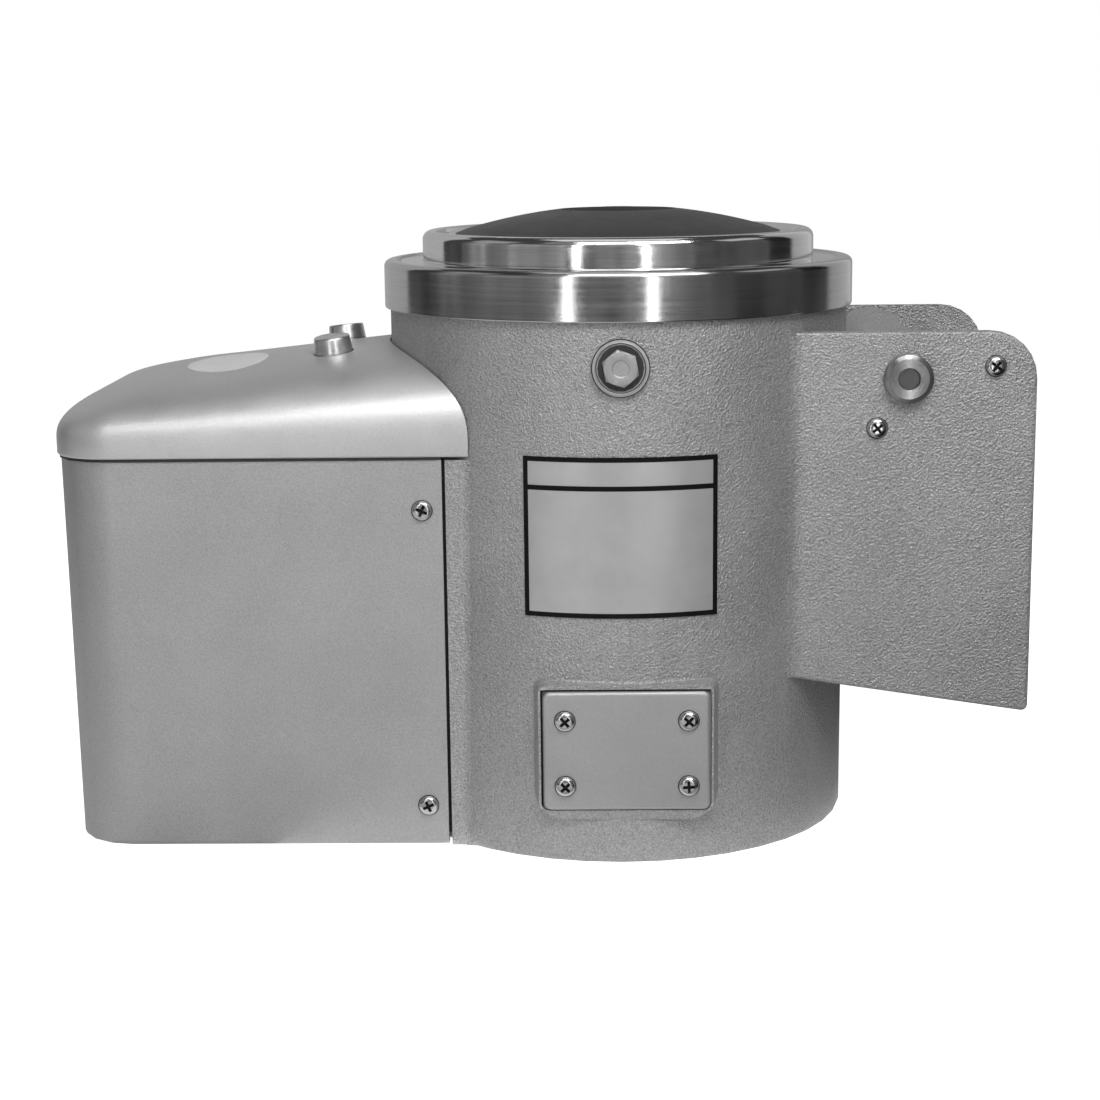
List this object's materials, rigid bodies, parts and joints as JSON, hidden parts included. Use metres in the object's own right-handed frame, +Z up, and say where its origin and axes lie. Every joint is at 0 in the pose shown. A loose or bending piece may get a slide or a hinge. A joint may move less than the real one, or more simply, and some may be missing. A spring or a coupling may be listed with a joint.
{
  "type": "potato rumbler",
  "caption": "Bench potato rumbler: cast drum with domed rubber lid, side motor under a domed cap with push buttons, and a discharge chute with a hung door.",
  "frame": {"origin": "centre of the bounding box at the foot of the drum and casing", "axes": "+X towards the discharge chute, -Y towards the user, +Z up along the drum's axis"},
  "size_m": [0.6676, 0.365, 0.434],
  "materials": {
    "cast_aluminium": "fine hammered silver finish on castings",
    "polished_aluminium": "polished, with fine marks round the ring",
    "lid_rubber": "satin moulded rubber",
    "black_rubber": "plain matt rubber",
    "abrasive": "coarse bonded grit",
    "zinc_screw": "bright zinc plate",
    "turned_steel": "turned, satin",
    "shaft_steel": "ground steel",
    "sheet_steel": "plain sheet",
    "motor_enamel": "dark enamel",
    "black_plastic": "moulded plastic",
    "brass_tail": "turned brass"
  },
  "bodies": {
    "machine": {"access_plate": "cast_aluminium", "access_screw_1": "zinc_screw", "access_screw_2": "zinc_screw", "access_screw_3": "zinc_screw", "access_screw_4": "zinc_screw", "base_plate": "sheet_steel", "bearing_housing": "cast_aluminium", "cable_gland": "black_plastic", "cap_gasket": "black_rubber", "casing_screw_1": "zinc_screw", "casing_screw_2": "zinc_screw", "casing_screw_3": "zinc_screw", "casing_screw_4": "zinc_screw", "chamber_liner": "abrasive", "cheek_screw_1": "zinc_screw", "cheek_screw_2": "zinc_screw", "cheek_screw_3": "zinc_screw", "cheek_screw_4": "zinc_screw", "door_pivot_shaft": "shaft_steel", "drive_belt": "black_rubber", "drum_body": "cast_aluminium", "fan_cowl": "motor_enamel", "inlet_plug": "turned_steel", "lower_bearing": "shaft_steel", "motor_cap": "cast_aluminium", "motor_casing": "cast_aluminium", "motor_frame": "motor_enamel", "motor_mount_plate": "sheet_steel", "pivot_cap_far": "turned_steel", "pivot_cap_near": "turned_steel", "plug_washer": "black_rubber", "rim_ring": "polished_aluminium", "run_capacitor": "sheet_steel", "shaft_seal": "black_rubber", "start_button_switch": "black_plastic", "stop_button_switch": "black_plastic", "stop_peg_1": "shaft_steel", "stop_peg_2": "shaft_steel", "stop_peg_3": "shaft_steel", "stop_peg_4": "shaft_steel", "upper_bearing": "shaft_steel", "waste_outlet": "turned_steel", "water_inlet": "brass_tail"},
    "drive": {"main_shaft": "shaft_steel", "driven_pulley": "cast_aluminium"},
    "rotor": {"rotor_plate": "cast_aluminium", "rotor_abrasive": "abrasive"},
    "motor": {"motor_shaft": "shaft_steel", "motor_pulley": "shaft_steel", "cooling_fan": "black_plastic"},
    "door": {"discharge_door": "cast_aluminium", "door_seal": "black_rubber", "door_handle": "turned_steel"},
    "cover": {"top_cover": "polished_aluminium"},
    "lid": {"rubber_lid": "lid_rubber"},
    "start": {"start_button": "turned_steel"},
    "stop": {"stop_button": "turned_steel"}
  },
  "joints": [
    {"name": "shaft_spin", "type": "hinge", "parent": "machine", "child": "drive", "pos_m": [0.05405, -0.01245, 0.08], "axis": [0, 0, 1], "continuous": true},
    {"name": "rotor_lift", "type": "slide", "parent": "drive", "child": "rotor", "axis": [0, 0, 1], "range_m": [0, 0.2]},
    {"name": "motor_spin", "type": "hinge", "parent": "machine", "child": "motor", "pos_m": [-0.20795, -0.01245, 0.12], "axis": [0, 0, 1], "continuous": true},
    {"name": "door_swing", "type": "hinge", "parent": "machine", "child": "door", "pos_m": [0.24695, -0.01245, 0.3226], "axis": [0, -1, 0], "range_deg": [0, 82]},
    {"name": "cover_lift", "type": "slide", "parent": "machine", "child": "cover", "axis": [0, 0, 1], "range_m": [0, 0.12]},
    {"name": "lid_lift", "type": "slide", "parent": "cover", "child": "lid", "axis": [0, 0, 1], "range_m": [0, 0.1]},
    {"name": "start_press", "type": "slide", "parent": "machine", "child": "start", "axis": [0.0949, 0.0922, -0.9912], "range_m": [0, 0.0035], "stiffness_N_per_m": 800, "springref_m": -0.002},
    {"name": "stop_press", "type": "slide", "parent": "machine", "child": "stop", "axis": [0.0949, -0.0922, -0.9912], "range_m": [0, 0.0035], "stiffness_N_per_m": 800, "springref_m": -0.002}
  ],
  "couplings": [
    {"joint": "motor_spin", "follows": "shaft_spin", "ratio": 4.9877}
  ]
}
